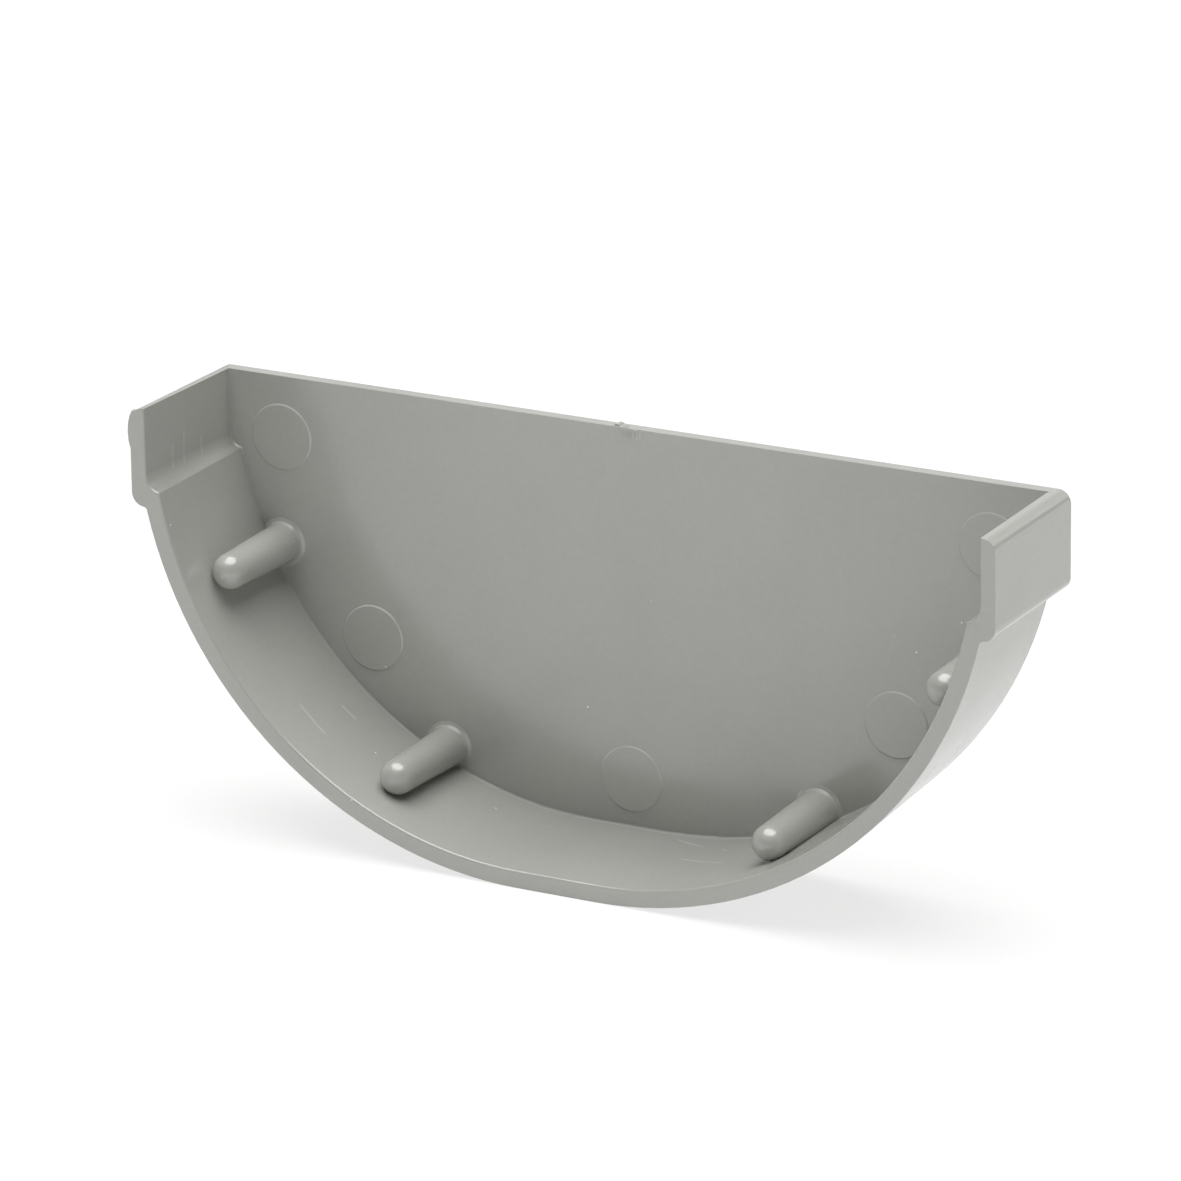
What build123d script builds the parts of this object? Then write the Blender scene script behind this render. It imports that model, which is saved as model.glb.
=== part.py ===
# Gutter end cap: one injection-moulded piece that closes the end of a half-round rain gutter.
#
# Frame: millimetres, +Z up. The cap stands on the flat at the foot of its flange, the origin is under
# its middle, the open side that takes the gutter faces -Y and the flat end plate faces +Y.
#
# Sketches are drawn on planes across the cap, looking at the end plate from the open side: x runs
# across the gutter and the second coordinate is the drop below the top edge.

import os
from math import cos, hypot, radians, sin, tan

from build123d import *

# the gutter that goes in
gutter_width = 112.0
gutter_depth = 51.0
fit_gap = 0.3

# end plate and half-round flange; the wall is the rim's, and thins towards the plate
flange_reach = 19.4
plate_thickness = 2.0
base_flat_width = 10.6
rim_wall = 2.2
inner_draft = 0.9
outer_draft = 2.7

# ears, which stand out from the half-round sides and take the gutter's thickened edges
ear_drop = 10.6
ear_stand_out = 0.7
ear_wall = 2.0
ear_inner_draft = 1.5
ear_outer_draft = 0.75
ear_inner_radius = 2.2
ear_outer_radius = 1.75
ear_top_radius = 1.75

# edges
ear_root_radius = 0.5
step_edge_radius = 0.25
plate_corner_radius = 0.25
rim_edge_radius = 0.3
back_edge_radius = 0.5

# pegs against the inside of the flange; angles are below the level of the side arcs' centres
peg_angles = (25.3, 65.0)
peg_setback = 1.9
peg_length = 15.0
peg_root_radius = 2.6
peg_nose_radius = 2.25
peg_flare = 0.6

# witness pads left by the ejector pins
pad_angles = (9.0, 45.3)
pad_setback = 6.2
pad_diameter = 8.4
pad_height = 0.15
pad_edge = 0.2

# torn gate: a low stub on the top edge and the lip that was dragged over its front
gate_width = 1.2
gate_stub_outline = ((-2.2, 0.2), (-2.05, -0.06), (-1.85, -0.17), (-1.55, -0.15), (-1.3, -0.04), (-1.1, 0.2))
gate_lip_outline = ((-1.0, 0.12), (-0.7, -0.06), (0.1, -0.12), (0.9, -0.05), (1.4, 0.06),
                    (1.1, 0.2), (0.5, 0.22), (0.1, 0.34), (-0.4, 0.2), (-0.8, 0.26))
gate_lip_reach = 0.3

# swelling on the outer edge of the ear on the -X side, where the moulding pulled at the mould
swelling_drop = 3.2
swelling_length = 5.8
swelling_radius = 0.9
swelling_stand_out = 0.45

# worked out from the sizes above
base_half = base_flat_width / 2
side_radius_at_plate = gutter_width / 2 + fit_gap - ear_stand_out - base_half
arc_drop = gutter_depth + fit_gap - side_radius_at_plate
side_radius_at_rim = side_radius_at_plate + flange_reach * tan(radians(inner_draft))
ear_half_at_rim = gutter_width / 2 + fit_gap + flange_reach * tan(radians(ear_inner_draft))
cap_depth = flange_reach + plate_thickness
cap_height = arc_drop + side_radius_at_rim + rim_wall
rim_y = -cap_depth / 2
face_y = rim_y + flange_reach
clear_over = 4.0
close = 0.001


def drop_plane(y):
    """The plane across the cap at y, with its second axis pointing down from the top edge."""
    return Plane(origin=(0, y, cap_height), x_dir=(1, 0, 0), z_dir=(0, 1, 0))


def round_outline(radius, over):
    """Flat foot, a quarter circle up each side and straight walls that pass the top edge by `over`."""
    lid = min(arc_drop, 0) - over
    with BuildSketch() as outline:
        with BuildLine():
            Line((0, arc_drop + radius), (base_half, arc_drop + radius))
            side = CenterArc((base_half, arc_drop), radius, 90, -90)
            Polyline(side @ 1, (base_half + radius, lid), (0, lid))
            mirror(about=Plane.YZ)
        make_face()
    return outline.sketch


def ear_outline(half_width, drop, corner_radius, over):
    """The upright rectangle that holds both ears, with rounded lower corners."""
    with BuildSketch() as outline:
        with Locations((0, (drop - over) / 2)):
            Rectangle(2 * half_width, drop + over)
        fillet(outline.vertices().filter_by(lambda v: v.Y > 0), corner_radius)
    return outline.sketch


def drafted(outline, y, depth, draft):
    """The outline at y, carried `depth` towards the end plate and closing in by the draft angle."""
    with BuildPart() as block:
        with BuildSketch(drop_plane(y)):
            add(outline)
        extrude(amount=depth, taper=draft)
    return block.part


def outer_block():
    """The cap's outside, still solid and open ended at the top."""
    flange = drafted(round_outline(side_radius_at_rim + rim_wall, clear_over), rim_y, cap_depth, outer_draft)
    ears = drafted(ear_outline(ear_half_at_rim + ear_wall, ear_drop + ear_wall, ear_outer_radius, clear_over),
                   rim_y, cap_depth, ear_outer_draft)
    return flange + ears


def socket_block():
    """The hollow that the gutter slides into."""
    channel = drafted(round_outline(side_radius_at_rim, 2 * clear_over), rim_y, flange_reach, inner_draft)
    slots = drafted(ear_outline(ear_half_at_rim, ear_drop, ear_inner_radius, 2 * clear_over),
                    rim_y, flange_reach, ear_inner_draft)
    return channel + slots


def is_step(edge, drop):
    """True for the two long edges where an ear's level face at `drop` meets the half-round side."""
    middle = edge @ 0.5
    runs_back = abs((edge @ 1).Y - (edge @ 0).Y) > flange_reach / 2
    near_side = 0.9 * side_radius_at_plate < abs(middle.X) - base_half < side_radius_at_rim + rim_wall
    return runs_back and near_side and abs(cap_height - middle.Z - drop) < ear_wall / 2


def is_socket_rim(edge):
    """True for the rim's edges on the socket's side."""
    middle = edge @ 0.5
    across = abs(middle.X)
    drop = cap_height - middle.Z
    if drop < ear_drop + ear_wall / 2:
        return across < ear_half_at_rim + ear_wall / 2 and drop > close
    reach = hypot(max(across - base_half, 0), drop - arc_drop)
    return reach < side_radius_at_rim + rim_wall / 2


def shell():
    """End plate, flange and ears, with every edge rounded as the moulding has it."""
    with BuildPart() as body:
        add(outer_block())
        fillet(body.edges().filter_by(lambda e: is_step(e, ear_drop + ear_wall)), ear_root_radius)
        add(socket_block(), mode=Mode.SUBTRACT)
        split(bisect_by=Plane.XY.offset(cap_height), keep=Keep.BOTTOM)
        fillet(body.edges().filter_by(lambda e: is_step(e, ear_drop)), step_edge_radius)

        top_edges = body.edges().filter_by(lambda e: abs(e.center().Z - cap_height) < close)
        outer_top = top_edges.filter_by(lambda e: abs(e.center().X) > ear_half_at_rim + ear_wall / 2)
        fillet(outer_top, ear_top_radius)
        plate_face = body.faces().filter_by(lambda f: abs(f.center().Y - face_y) < close)[0]
        corner = plate_face.edges().filter_by(lambda e: e.center().Z < cap_height - close)
        fillet(corner, plate_corner_radius)
        fillet(body.faces().sort_by(Axis.Y)[-1].edges(), back_edge_radius)
        rim_face = body.faces().sort_by(Axis.Y)[0]
        fillet(rim_face.edges().filter_by(is_socket_rim), rim_edge_radius)
    return body.part


def peg(place):
    """A tapered, round-nosed peg that grows out of the plate with a flared root."""
    nose_centre = peg_length - peg_nose_radius
    flare_outer = peg_root_radius + peg_flare
    flare_bend = peg_flare * (1 - sin(radians(45)))
    with BuildPart() as post:
        with BuildSketch(Plane.XY):
            with BuildLine():
                side = Polyline((0, plate_thickness / 2), (flare_outer, plate_thickness / 2),
                                (flare_outer, 0), (peg_root_radius + flare_bend, -flare_bend),
                                (peg_root_radius, -peg_flare), (peg_nose_radius, -nose_centre))
                nose = RadiusArc(side @ 1, (0, -peg_length), peg_nose_radius)
                Line(nose @ 1, side @ 0)
            make_face()
        revolve(axis=Axis.Y)
    return Pos(place[0], face_y, cap_height - place[1]) * post.part


def along_sides(setback, angles):
    """Places, as x and drop, that follow both side arcs at `setback` inside them."""
    radius = side_radius_at_plate - setback
    places = []
    for side in (-1, 1):
        for angle in angles:
            x = base_half + radius * cos(radians(angle))
            drop = arc_drop + radius * sin(radians(angle))
            places.append((side * x, drop))
    return places


def witness_pad(place):
    """A shallow round pad with a sloping edge, where an ejector pin pushed the moulding off its core."""
    root = plate_thickness / 4
    top_radius = (pad_diameter - pad_edge) / 2
    root_radius = top_radius + pad_edge * (root + pad_height) / pad_height
    pad = Cone(root_radius, top_radius, root + pad_height, align=(Align.CENTER, Align.CENTER, Align.MIN))
    return Pos(place[0], face_y + root, cap_height - place[1]) * Rot(90, 0, 0) * pad


def torn(outline, y, depth):
    """A torn sliver of plastic: the outline at y, carried `depth` towards the back."""
    with BuildPart() as sliver:
        with BuildSketch(drop_plane(y)):
            with BuildLine():
                Polyline(*outline, close=True)
            make_face()
        extrude(amount=depth)
    return sliver.part


def swelling():
    """An egg shape let into the ear's outer edge and cut off level with the rim."""
    turns = [radians(22.5 * step) for step in range(-4, 5)]
    profile = [(swelling_radius * cos(turn), swelling_length / 2 * sin(turn)) for turn in turns]
    with BuildPart() as egg:
        with BuildSketch(Plane.XZ):
            with BuildLine():
                Polyline(*profile, close=True)
            make_face()
        revolve(axis=Axis.Z)
    across = ear_half_at_rim + ear_wall + swelling_stand_out - swelling_radius
    placed = Pos(-across, rim_y + swelling_radius / 2, cap_height - swelling_drop) * egg.part
    return split(placed, bisect_by=Plane.XZ.offset(-rim_y), keep=Keep.BOTTOM)


cap = shell()
for place in along_sides(peg_setback, peg_angles):
    cap += peg(place)
lowest_pad = (0, arc_drop + side_radius_at_plate - pad_setback)
for place in [lowest_pad] + along_sides(pad_setback, pad_angles):
    cap += witness_pad(place)
cap += torn(gate_stub_outline, face_y + (plate_thickness - gate_width) / 2, gate_width)
cap += torn(gate_lip_outline, face_y - gate_lip_reach, gate_width)
cap += swelling()

os.makedirs("parts", exist_ok=True)
export_step(cap, "parts/end_cap.step")
size = cap.bounding_box().size
print(f"end_cap: {len(cap.solids())} solid, {size.X:.2f} x {size.Y:.2f} x {size.Z:.2f} mm,",
      f"{cap.volume / 1000:.2f} cm3")
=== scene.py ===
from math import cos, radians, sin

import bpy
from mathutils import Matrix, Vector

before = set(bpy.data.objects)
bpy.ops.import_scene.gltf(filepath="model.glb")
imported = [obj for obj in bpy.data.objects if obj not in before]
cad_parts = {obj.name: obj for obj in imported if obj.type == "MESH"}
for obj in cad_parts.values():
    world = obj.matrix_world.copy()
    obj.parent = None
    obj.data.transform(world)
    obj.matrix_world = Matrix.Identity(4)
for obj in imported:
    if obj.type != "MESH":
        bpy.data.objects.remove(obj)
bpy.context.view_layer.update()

# %% [markdown]
# # A moulded gutter end cap
#
# This lesson dresses one injection-moulded part, the cap that closes the end of a half-round
# rain gutter. The solid model already has the cap's shape and size, down to the rounded edges,
# the ejector pads and the torn gate, so Blender's work is its surface, the marks that moulding
# and handling left on it, and a camera and light that show them.
#
# Everything is in metres, in the solid model's own frame: the cap stands on the floor, its
# open side faces -Y, its flat end plate faces +Y, and +Z is up. Sizes are written here in
# millimetres, because that is how a moulder thinks, and turned to metres where they are used.

MM = 0.001
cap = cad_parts["end_cap"]

# %% [markdown]
# ## Two small helpers
#
# Colours are easiest to judge as the hex values of a paint chart, but the shader works in
# linear light, so one function turns the first into the second. A node tree reads better when
# each node is one call, so another function adds a node with its settings and its links.

# %% Colours
def linear(hex_colour):
    """An sRGB hex colour such as "9b9c96" as linear RGBA, by the sRGB standard's curve."""
    channels = [int(hex_colour[i:i + 2], 16) / 255 for i in (0, 2, 4)]
    return [c / 12.92 if c <= 0.04045 else ((c + 0.055) / 1.055) ** 2.4 for c in channels] + [1.0]


print("mid grey is", [round(c, 3) for c in linear("9b9c96")[:3]])

# %% Nodes
NOISE = "ShaderNodeTexNoise"
MATH = "ShaderNodeMath"
VECTOR_MATH = "ShaderNodeVectorMath"
MAP_RANGE = "ShaderNodeMapRange"
# for colours its inputs are numbers 6 and 7 and its output is number 2, and for plain
# values its inputs are numbers 2 and 3 and its output is number 0
MIX = "ShaderNodeMix"


def add_node(tree, kind, settings=None, **inputs):
    """Adds a node. `settings` are its properties, `inputs` its sockets' values or links.

    A socket goes by its name, with _ for a space, or by its number: i0 is the first.
    """
    node = tree.nodes.new(kind)
    for name, value in (settings or {}).items():
        setattr(node, name, value)
    for name, value in inputs.items():
        key = int(name[1:]) if name[0] == "i" and name[1:].isdigit() else name.replace("_", " ")
        if isinstance(value, bpy.types.NodeSocket):
            tree.links.new(value, node.inputs[key])
        else:
            node.inputs[key].default_value = value
    return node


print("kinds of node used often:", NOISE, MATH, VECTOR_MATH, MAP_RANGE, MIX)

# %% [markdown]
# ## The grey of the plastic
#
# Rainwater goods are moulded in uPVC, rigid PVC, which is cheap and stands the sun. The grey is
# mixed into the melt, so it goes right through and is very even. What little it varies comes
# from the flow: clouds a centimetre or two wide, some a touch warmer than others, and a fine
# mottle from the filler. Two noises on Object coordinates, which here are the part's own
# metres, make both at their real sizes.

# %% Flow clouds and mottle
cool_grey = linear("9a9c97")
warm_grey = linear("a4a39e")
cloud_size = 16
mottle_size = 0.7
mottle_dark, mottle_light = 0.982, 1.018
# nearly all of a noise lies between these two values
noise_low, noise_high = 0.3, 0.7


def flow_grey(tree, place):
    """The base colour: clouds between the two greys, a little darker or lighter by the mottle."""
    clouds = add_node(tree, NOISE, Vector=place, Scale=1 / (cloud_size * MM),
                      Detail=3.0, Roughness=0.55)
    tint = add_node(tree, MIX, {"data_type": "RGBA"},
                    Factor=clouds.outputs["Fac"], i6=cool_grey, i7=warm_grey)
    mottle = add_node(tree, NOISE, Vector=place, Scale=1 / (mottle_size * MM),
                      Detail=2.0, Roughness=0.6)
    fleck = add_node(tree, MAP_RANGE, Value=mottle.outputs["Fac"],
                     From_Min=noise_low, From_Max=noise_high,
                     To_Min=mottle_dark, To_Max=mottle_light)
    return add_node(tree, VECTOR_MATH, {"operation": "SCALE"},
                    i0=tint.outputs[2], Scale=fleck.outputs["Result"]).outputs["Vector"]


print("clouds", cloud_size, "mm wide, from", [round(c, 3) for c in cool_grey[:3]],
      "to", [round(c, 3) for c in warm_grey[:3]])

# %% [markdown]
# ## The skin from the mould
#
# The steel mould is stoned, not polished, so the skin is satin: it mirrors the white table
# softly, and a darker band along the plate is the flange seen in it. Thick mouldings sink a
# little as they cool, which makes such reflections wavy. A slow ripple in the bump does that,
# and a much weaker fine grain breaks up the gloss.

# %% Ripple and grain
ripple_length, ripple_height = 12, 0.12
# the mould's grain is about 0.15 mm; it is drawn at 0.5 mm, so that the camera can see it
grain_size, grain_height = 0.5, 0.004


def mould_relief(tree, place):
    """Height in metres: the slow ripple of the sinking and the grain of the mould."""
    ripple = add_node(tree, NOISE, Vector=place, Scale=1 / (ripple_length * MM),
                      Detail=1.0, Roughness=0.4)
    grain = add_node(tree, NOISE, Vector=place, Scale=1 / (grain_size * MM),
                     Detail=1.0, Roughness=0.5)
    slow = add_node(tree, MATH, {"operation": "MULTIPLY"},
                    i0=ripple.outputs["Fac"], i1=ripple_height * MM)
    return add_node(tree, MATH, {"operation": "MULTIPLY_ADD"},
                    i0=grain.outputs["Fac"], i1=grain_height * MM, i2=slow.outputs[0]).outputs[0]


print("ripple", ripple_length, "mm long, grain drawn", grain_size, "mm wide")

# %% [markdown]
# ## The tight corner
#
# A polishing stone can't reach into the tight corner between the plate and the walls, so the
# steel stays rough there and the moulding's corner is dull. Its grey is darkened there too, as
# painted shade in the corner. The corner is told by its place: where the plate's face meets the
# ears' inner walls, and where it meets the round of the flange.

# %% Places on the cap, in millimetres
# the plate's inner face, where it meets the ears' walls, and the foot of the ears at the rim
plate_y, ear_corner_x, ear_floor_z = 8.7, 56.3, 43.2
# the quarter circles' centres lie this far to each side, at this height
arc_centre_x, arc_centre_z = 5.3, 52.8
# the flange's inside at the plate, and a radius that is within its wall from plate to rim
inner_radius, wall_middle_radius = 50.3, 51.4


def near(tree, value, centre, reach):
    """1 where a coordinate lies within `reach` of `centre`, both in millimetres."""
    return add_node(tree, MATH, {"operation": "COMPARE"},
                    i0=value, i1=centre * MM, i2=reach * MM).outputs[0]


def flange_radius(tree, spot):
    """How far a point lies from the nearer arc's centre, seen from the open side."""
    across = add_node(tree, MATH, {"operation": "ABSOLUTE"}, i0=spot.outputs["X"])
    past = add_node(tree, MATH, {"operation": "SUBTRACT"},
                    i0=across.outputs[0], i1=arc_centre_x * MM)
    side = add_node(tree, MATH, {"operation": "MAXIMUM"}, i0=past.outputs[0], i1=0.0)
    drop = add_node(tree, MATH, {"operation": "SUBTRACT"},
                    i0=spot.outputs["Z"], i1=arc_centre_z * MM)
    arm = add_node(tree, "ShaderNodeCombineXYZ", X=side.outputs[0], Y=drop.outputs[0])
    return add_node(tree, VECTOR_MATH, {"operation": "LENGTH"},
                    i0=arm.outputs["Vector"]).outputs["Value"]


print("plate face at y", plate_y, "mm, flange's inner radius", inner_radius, "mm")

# %% Where the corner is
corner_reach = 0.35
corner_middle_y, corner_half_depth = plate_y - 0.15, 0.25
# just under the ears' foot, which is half a millimetre higher at the plate than at the rim
round_top_z = ear_floor_z + 0.2


def tight_corner(tree, place):
    """A mask, 0 or 1, of the corner all round the plate."""
    spot = add_node(tree, "ShaderNodeSeparateXYZ", Vector=place)
    across = add_node(tree, MATH, {"operation": "ABSOLUTE"}, i0=spot.outputs["X"])
    at_ear = near(tree, across.outputs[0], ear_corner_x, corner_reach)
    at_arc = near(tree, flange_radius(tree, spot), inner_radius, corner_reach)
    below_ear = add_node(tree, MATH, {"operation": "LESS_THAN"},
                         i0=spot.outputs["Z"], i1=round_top_z * MM)
    round_part = add_node(tree, MATH, {"operation": "MULTIPLY"},
                          i0=at_arc, i1=below_ear.outputs[0])
    either = add_node(tree, MATH, {"operation": "MAXIMUM"},
                      i0=at_ear, i1=round_part.outputs[0])
    at_plate = near(tree, spot.outputs["Y"], corner_middle_y, corner_half_depth)
    return add_node(tree, MATH, {"operation": "MULTIPLY"},
                    i0=either.outputs[0], i1=at_plate).outputs[0]


print("the corner is", 2 * corner_reach, "mm wide and", 2 * corner_half_depth, "mm deep")

# %% Gloss, a little uneven, and dull in the corner
patch_size = 5
satin_smooth, satin_rough = 0.16, 0.22
corner_roughness = 0.65


def satin_gloss(tree, place, corner):
    """Roughness: the print of stoned steel in rigid PVC, and that of the dull corner."""
    patches = add_node(tree, NOISE, Vector=place, Scale=1 / (patch_size * MM),
                       Detail=4.0, Roughness=0.6)
    open_face = add_node(tree, MAP_RANGE, Value=patches.outputs["Fac"],
                         From_Min=noise_low, From_Max=noise_high,
                         To_Min=satin_smooth, To_Max=satin_rough)
    return add_node(tree, MIX, {"data_type": "FLOAT"}, Factor=corner,
                    i2=open_face.outputs["Result"], i3=corner_roughness).outputs[0]


print("roughness", satin_smooth, "to", satin_rough, "and in the corner", corner_roughness)

# %% [markdown]
# ## Marks
#
# A used moulding has marks, each with a cause and so with a place. The core dragged three lines
# up the inside of the ear on the -X side as it pulled out. The gate left short pull marks under
# its torn lip. Each ejector pin's pad gets a pale ring at its edge, a painted highlight for the
# light that the pad's raised edge catches, with a slight real relief. Handling scratched
# the inside of the flange along its curve, and a few specks of dust cling to it.
#
# The drag lines, pull marks and scratches are thin lines with soft ends, so one function draws
# them all, given a coordinate that runs along the mark and one that runs across it.

# %% One thin line
# a line keeps its full strength over this share of its length, then fades to its ends
full_share = 0.65


def streak(tree, along, across, start, end, width):
    """A mask, 0 to 1, of a line from `start` to `end`, both (along, across) in millimetres."""
    slope = (end[1] - start[1]) / (end[0] - start[0])
    middle, half_length = (start[0] + end[0]) / 2, abs(end[0] - start[0]) / 2
    line = add_node(tree, MATH, {"operation": "MULTIPLY_ADD"},
                    i0=along, i1=slope, i2=(start[1] - slope * start[0]) * MM)
    off_line = add_node(tree, MATH, {"operation": "SUBTRACT"}, i0=across, i1=line.outputs[0])
    side_step = add_node(tree, MATH, {"operation": "ABSOLUTE"}, i0=off_line.outputs[0])
    thin = add_node(tree, MAP_RANGE, {"interpolation_type": "SMOOTHSTEP"},
                    Value=side_step.outputs[0],
                    From_Min=0.0, From_Max=width * MM, To_Min=1.0, To_Max=0.0)
    off_middle = add_node(tree, MATH, {"operation": "SUBTRACT"}, i0=along, i1=middle * MM)
    reach = add_node(tree, MATH, {"operation": "ABSOLUTE"}, i0=off_middle.outputs[0])
    faded = add_node(tree, MAP_RANGE, {"interpolation_type": "SMOOTHSTEP"},
                     Value=reach.outputs[0],
                     From_Min=full_share * half_length * MM, From_Max=half_length * MM,
                     To_Min=1.0, To_Max=0.0)
    return add_node(tree, MATH, {"operation": "MULTIPLY"},
                    i0=thin.outputs["Result"], i1=faded.outputs["Result"]).outputs[0]


print("a line is at full strength over", full_share, "of its length")

# %% [markdown]
# ### Where the marks are
#
# Along the ear a mark is told by its height and depth into the cap, and on the plate by its
# height and place across it. The flange is round, so there a mark is told by how far it lies
# along the arc: the angle about a point midway between the two arcs' centres, times a radius
# that suits the flange as seen from there.

# %% The lines' places, in millimetres
arc_radius = 52.0
# (height, depth) of each line's ends, on the inside of the -X ear
drag_lines = (((44.2, -4.6), (47.8, -4.35)), ((44.2, -2.05), (48.9, -1.75)),
              ((44.4, 1.9), (47.2, 2.1)))
# (height, place across), on the inside of the plate, under the torn lip
pull_marks = (((52.5, 0.75), (53.6, 0.75)), ((52.3, 1.25), (53.6, 1.2)),
              ((52.6, 1.7), (53.5, 1.65)))
# (angle in degrees, depth), round the inside of the flange
flange_scratches = (((-137.8, -3.5), (-131.5, -3.9)), ((-134.5, 2.9), (-131.4, 2.95)),
                    ((-82.2, 7.1), (-76.7, 5.3)), ((-78.5, 1.0), (-69.5, -1.0)),
                    ((-73.6, 4.6), (-72.2, 3.8)))
print("marks:", len(drag_lines), "drag lines,", len(pull_marks), "pull marks,",
      len(flange_scratches), "scratches")

# %% The pads and the faces that carry the marks, in millimetres
# (across, height) of the ejector pads' centres, on both sides of the middle, and their radius
pad_centres = ((48.86, 45.91), (36.32, 21.46), (0.0, 8.7))
pad_radius = 4.18
# each face by its middle and its reach to both sides: the ear's wall leans, and a pad stands
# a little in front of the plate
ear_wall_x, ear_wall_reach = -56.6, 0.35
plate_reach = 0.1
pad_face_y, pad_face_reach = plate_y - 0.1, 0.15
print("pads: radius", pad_radius, "mm, centres at x and z", pad_centres)

# %% How wide the marks are, in millimetres to each side, and how strong
drag_width, drag_strength = 0.28, 0.5
pull_width, pull_strength = 0.14, 0.6
scratch_width, scratch_strength = 0.22, 0.8
# the pads' rings are painted highlight: a pale ring for the light on each pad's raised edge
pad_highlight_width, pad_highlight_strength = 0.09, 0.5
print("strengths:", drag_strength, pull_strength, scratch_strength, pad_highlight_strength)


# %% All the marks together
def marks(tree, place):
    """The strongest mark, or pad ring of painted highlight, at each point, 0 to 1."""
    spot = add_node(tree, "ShaderNodeSeparateXYZ", Vector=place)
    x, y, z = spot.outputs["X"], spot.outputs["Y"], spot.outputs["Z"]
    ear = near(tree, x, ear_wall_x, ear_wall_reach)
    plate = near(tree, y, plate_y, plate_reach)
    pad_face = near(tree, y, pad_face_y, pad_face_reach)
    drop = add_node(tree, MATH, {"operation": "SUBTRACT"}, i0=z, i1=arc_centre_z * MM)
    turn = add_node(tree, MATH, {"operation": "ARCTAN2"}, i0=drop.outputs[0], i1=x)
    arc = add_node(tree, MATH, {"operation": "MULTIPLY"},
                   i0=turn.outputs[0], i1=arc_radius * MM).outputs[0]
    # only on the flange's inside, which is nearer the arc's centre than the wall's middle is
    inside = add_node(tree, MATH, {"operation": "LESS_THAN"},
                      i0=flange_radius(tree, spot), i1=wall_middle_radius * MM).outputs[0]

    drawn = [(ear, streak(tree, z, y, *line, drag_width), drag_strength) for line in drag_lines]
    drawn += [(plate, streak(tree, z, x, *line, pull_width), pull_strength)
              for line in pull_marks]
    for start, end in flange_scratches:
        ends = [(radians(angle) * arc_radius, depth) for angle, depth in (start, end)]
        drawn.append((inside, streak(tree, arc, y, *ends, scratch_width), scratch_strength))

    # a thin pale ring round each ejector pad's edge: a painted highlight for the light on its
    # raised edge
    across = add_node(tree, MATH, {"operation": "ABSOLUTE"}, i0=x).outputs[0]
    flat = add_node(tree, "ShaderNodeCombineXYZ", X=across, Y=z)
    for centre_x, centre_z in pad_centres:
        span = add_node(tree, VECTOR_MATH, {"operation": "DISTANCE"},
                        i0=flat.outputs["Vector"], i1=(centre_x * MM, centre_z * MM, 0.0))
        pad_highlight_ring = near(tree, span.outputs["Value"], pad_radius, pad_highlight_width)
        drawn.append((pad_face, pad_highlight_ring, pad_highlight_strength))

    total = None
    for where, mask, strength in drawn:
        kept = add_node(tree, MATH, {"operation": "MULTIPLY"}, i0=where, i1=mask)
        felt = add_node(tree, MATH, {"operation": "MULTIPLY"},
                        i0=kept.outputs[0], i1=strength).outputs[0]
        if total is None:
            total = felt
        else:
            total = add_node(tree, MATH, {"operation": "MAXIMUM"}, i0=total, i1=felt).outputs[0]
    return total


print("masks to join:", len(drag_lines) + len(pull_marks) + len(flange_scratches)
      + len(pad_centres))

# %% Dust
dust_spacing = 1.5
# a speck's radius as a share of the spacing, and the share of the points that have none
speck_share = 0.085
bare_share = 0.989


def dust(tree, place):
    """Specks about 0.25 mm across, on one point in ninety of a 1.5 mm scatter."""
    scatter = add_node(tree, "ShaderNodeTexVoronoi", Vector=place,
                       Scale=1 / (dust_spacing * MM))
    close = add_node(tree, MATH, {"operation": "LESS_THAN"},
                     i0=scatter.outputs["Distance"], i1=speck_share)
    pick = add_node(tree, "ShaderNodeSeparateColor", Color=scatter.outputs["Color"])
    few = add_node(tree, MATH, {"operation": "GREATER_THAN"},
                   i0=pick.outputs[0], i1=bare_share)
    return add_node(tree, MATH, {"operation": "MULTIPLY"},
                    i0=close.outputs[0], i1=few.outputs[0]).outputs[0]


print("a speck is up to", round(2 * speck_share * dust_spacing, 3), "mm across")

# %% [markdown]
# ## The finished plastic
#
# The pieces above meet in one Principled shader. A scratch in PVC whitens, so a mark lightens
# the grey and lifts the surface by a hundredth of a millimetre, and dust is nearly white. The
# pads' pale rings are painted highlight, and the darker grey in the tight corner is painted
# shade. Rigid PVC has an index of refraction of about 1.54. The specular level is 0.8 instead
# of the usual 0.5, to match how clearly the real plate mirrors the table.

# %% Colours of wear, of painted highlight and of painted shade
# a mark's paler grey; on the pads' rings the same paling is a painted highlight
pale_mark_and_highlight_grey, whitening_and_highlight = linear("dcdcd8"), 0.35
# painted shade: the darker grey that the tight corner round the plate is mixed towards
corner_shade_grey, corner_shade_cover = linear("6c6d69"), 0.3
dust_white = linear("d8d8d4")
mark_height = 0.01
# the corner's share is painted shade, and on the pads' rings the whitening is a painted highlight
print("a mark whitens the grey by up to", whitening_and_highlight, "and grime covers", corner_shade_cover, "of it")


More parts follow.
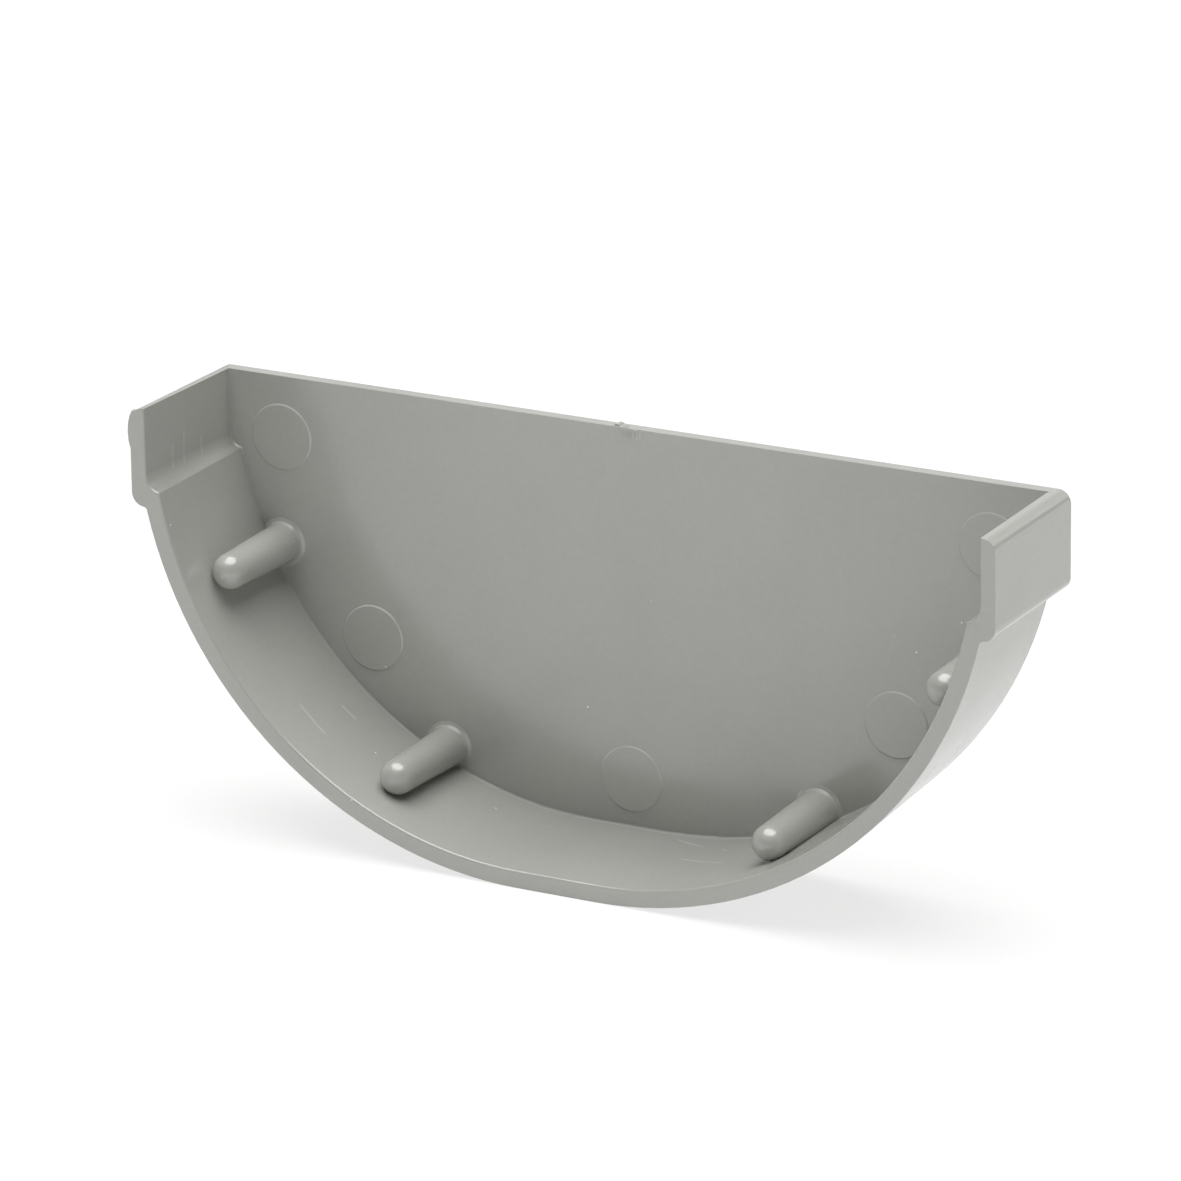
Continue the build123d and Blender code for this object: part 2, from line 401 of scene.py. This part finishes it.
# %% uPVC, injection moulded, satin grey
def moulded_upvc():
    """Rigid PVC: IOR about 1.54, not metallic, satin from the texture of the mould."""
    material = bpy.data.materials.new("upvc_satin_grey")
    material.use_nodes = True
    tree = material.node_tree
    tree.nodes.clear()
    place = add_node(tree, "ShaderNodeTexCoord").outputs["Object"]

    marks_and_highlight = marks(tree, place)
    corner = tight_corner(tree, place)
    # scratches, pull marks and drag lines whiten the grey, and on the pads' rings the same paling
    # is a painted highlight
    whitened_and_highlit = add_node(tree, MATH, {"operation": "MULTIPLY"}, i0=marks_and_highlight, i1=whitening_and_highlight)
    scratched_and_highlit = add_node(tree, MIX, {"data_type": "RGBA"}, Factor=whitened_and_highlit.outputs[0],
                         i6=flow_grey(tree, place), i7=pale_mark_and_highlight_grey)
    # painted shade: the grey is darkened in the tight corner round the plate
    corner_shade = add_node(tree, MATH, {"operation": "MULTIPLY"}, i0=corner, i1=corner_shade_cover)
    corner_shaded = add_node(tree, MIX, {"data_type": "RGBA"}, Factor=corner_shade.outputs[0],
                     i6=scratched_and_highlit.outputs[2], i7=corner_shade_grey)
    dusty = add_node(tree, MIX, {"data_type": "RGBA"}, Factor=dust(tree, place),
                     i6=corner_shaded.outputs[2], i7=dust_white)
    relief = add_node(tree, MATH, {"operation": "MULTIPLY_ADD"},
                      i0=marks_and_highlight, i1=mark_height * MM, i2=mould_relief(tree, place))
    bump = add_node(tree, "ShaderNodeBump", Height=relief.outputs[0], Strength=1.0, Distance=1.0)

    plastic = add_node(tree, "ShaderNodeBsdfPrincipled", Base_Color=dusty.outputs[2],
                       Roughness=satin_gloss(tree, place, corner), IOR=1.54,
                       Specular_IOR_Level=0.8, Metallic=0.0, Normal=bump.outputs["Normal"])
    add_node(tree, "ShaderNodeOutputMaterial", Surface=plastic.outputs["BSDF"])
    return material


upvc = moulded_upvc()
for slot in cap.material_slots:
    slot.material = upvc
print("end_cap material slots:", [slot.material.name for slot in cap.material_slots],
      "nodes:", len(upvc.node_tree.nodes))

# %% [markdown]
# ## Table
#
# The cap stands on a broad white table. It stays a real surface, because the soft shadow on it
# is what sets the cap down. Where the camera or a reflection looks at it, most of it is plain
# white, so the shadow stays faint, as on a lit table in a studio, with no more light on the cap.

# %% White card
def white_card(plain_white=0.75):
    """Matt white card, of which the share `plain_white` is plain white where it is seen."""
    material = bpy.data.materials.new("white_card")
    material.use_nodes = True
    tree = material.node_tree
    tree.nodes.clear()
    ray = add_node(tree, "ShaderNodeLightPath").outputs
    seen = ray["Is Camera Ray"]
    for kind in ("Is Glossy Ray", "Is Transmission Ray"):
        seen = add_node(tree, MATH, {"operation": "MAXIMUM"}, i0=seen, i1=ray[kind]).outputs[0]
    share = add_node(tree, MATH, {"operation": "MULTIPLY"}, i0=seen, i1=plain_white)
    card = add_node(tree, "ShaderNodeBsdfDiffuse", Color=linear("f2f2f1"))
    white = add_node(tree, "ShaderNodeEmission", Color=linear("ffffff"), Strength=1.0)
    surface = add_node(tree, "ShaderNodeMixShader", Fac=share.outputs[0],
                       i1=card.outputs["BSDF"], i2=white.outputs["Emission"])
    add_node(tree, "ShaderNodeOutputMaterial", Surface=surface.outputs["Shader"])
    return material


table_card = white_card()
print("table's material:", table_card.name)


# %% Table
def table(material, size=6.0):
    """A sheet of `size` metres, level with the foot of the cap."""
    half = size / 2
    corners = [(-half, -half, 0), (half, -half, 0), (half, half, 0), (-half, half, 0)]
    mesh = bpy.data.meshes.new("table_sheet")
    mesh.from_pydata(corners, [], [(0, 1, 2, 3)])
    mesh.materials.append(material)
    sheet = bpy.data.objects.new("table_sheet", mesh)
    bpy.context.scene.collection.objects.link(sheet)
    return sheet


print("table:", table(table_card).name)

# %% [markdown]
# ## Room
#
# The walls are white only at table height and dark above, so the one strong light is the panel
# overhead. A white sheet hangs high behind the cap, and its level edges, which the camera sees
# at a slant, shine with it. The dark gap between the sheet and the white foot of the wall draws
# the thin dark line along the rounded top of the ear.

# %% Dark walls with a white foot, and a white sheet behind
def studio_room(wall_foot=(0.075, 0.11), sheet_bottom=(0.23, 0.28), sheet_top=(0.4, 0.6),
                sheet_side=(0.1, 0.5), dark=0.02):
    """The world's strength: 1 is white. Heights are sines, and each pair is where it fades."""
    world = bpy.data.worlds.new("studio_room")
    bpy.context.scene.world = world
    world.use_nodes = True
    tree = world.node_tree
    tree.nodes.clear()
    way = add_node(tree, "ShaderNodeTexCoord").outputs["Generated"]
    facing = add_node(tree, "ShaderNodeSeparateXYZ", Vector=way)
    walls = add_node(tree, MAP_RANGE, Value=facing.outputs["Z"],
                     From_Min=wall_foot[0], From_Max=wall_foot[1], To_Min=1.0, To_Max=dark)
    above = add_node(tree, MAP_RANGE, Value=facing.outputs["Z"],
                     From_Min=sheet_bottom[0], From_Max=sheet_bottom[1], To_Min=0.0, To_Max=1.0)
    below = add_node(tree, MAP_RANGE, Value=facing.outputs["Z"],
                     From_Min=sheet_top[0], From_Max=sheet_top[1], To_Min=1.0, To_Max=0.0)
    sheet = add_node(tree, MATH, {"operation": "MULTIPLY"},
                     i0=above.outputs["Result"], i1=below.outputs["Result"])
    behind = add_node(tree, MAP_RANGE, Value=facing.outputs["Y"],
                      From_Min=sheet_side[0], From_Max=sheet_side[1], To_Min=0.0, To_Max=1.0)
    hung = add_node(tree, MATH, {"operation": "MULTIPLY"},
                    i0=sheet.outputs[0], i1=behind.outputs["Result"])
    strength = add_node(tree, MATH, {"operation": "MAXIMUM"},
                        i0=walls.outputs["Result"], i1=hung.outputs[0])
    light = add_node(tree, "ShaderNodeBackground", Color=linear("ffffff"),
                     Strength=strength.outputs[0])
    add_node(tree, "ShaderNodeOutputWorld", Surface=light.outputs["Background"])
    return world


print("room:", studio_room().name)

# %% [markdown]
# ## Light
#
# Nearly all the light comes from one large panel straight overhead, as it does in a light tent
# with the lamp on top. A sun lamp with a wide disc does the same and is as strong everywhere,
# so the table doesn't darken away from the cap. A weaker and wider one, a little to the front,
# lifts the inside of the flange.

# %% Panels
def light_panel(name, direction, strength, spread):
    """A broad soft light that comes from `direction` and looks `spread` degrees wide."""
    lamp = bpy.data.lights.new(name, "SUN")
    lamp.energy = strength
    lamp.angle = radians(spread)
    holder = bpy.data.objects.new(name, lamp)
    bpy.context.scene.collection.objects.link(holder)
    holder.rotation_euler = Vector(direction).to_track_quat("Z", "Y").to_euler()
    return holder


panels = [light_panel("overhead_panel", direction=(0, 0, 1), strength=3.8, spread=62),
          light_panel("front_panel", direction=(0, -0.26, 0.966), strength=0.55, spread=80)]
print("lights:", [panel.name for panel in panels])

# %% [markdown]
# ## Camera
#
# A small part is photographed from well back with a long lens, which keeps its outline nearly
# parallel. The place, roll and lens here were worked out from the real cap's edges in its
# photograph, so the model fills the frame as the real one does there.

# %% Camera
def camera_at(azimuth, elevation, roll, distance, aim, lens):
    """A camera `distance` mm from `aim`, `azimuth` degrees round from the front towards +X."""
    a, e, t = radians(azimuth), radians(elevation), radians(roll)
    ahead = Vector((-sin(a) * cos(e), cos(a) * cos(e), -sin(e)))
    right = Vector((cos(a), sin(a), 0))
    up = right.cross(ahead)
    turned_right = cos(t) * right + sin(t) * up
    turned_up = -sin(t) * right + cos(t) * up
    lens_data = bpy.data.cameras.new("studio_camera")
    lens_data.lens = lens
    lens_data.sensor_width = 36
    lens_data.clip_start = 0.05
    camera = bpy.data.objects.new("studio_camera", lens_data)
    bpy.context.scene.collection.objects.link(camera)
    turn = Matrix((turned_right, turned_up, -ahead)).transposed().to_4x4()
    camera.matrix_world = Matrix.Translation(Vector(aim) * MM - ahead * distance * MM) @ turn
    bpy.context.scene.camera = camera
    return camera


camera = camera_at(azimuth=28.8442, elevation=18.5798, roll=-0.7663, distance=971.27,
                   aim=(-5.411, 8.7, 32.283), lens=242.39)
bpy.context.scene.view_settings.view_transform = "Standard"
print("camera at", [round(v, 4) for v in camera.matrix_world.translation])
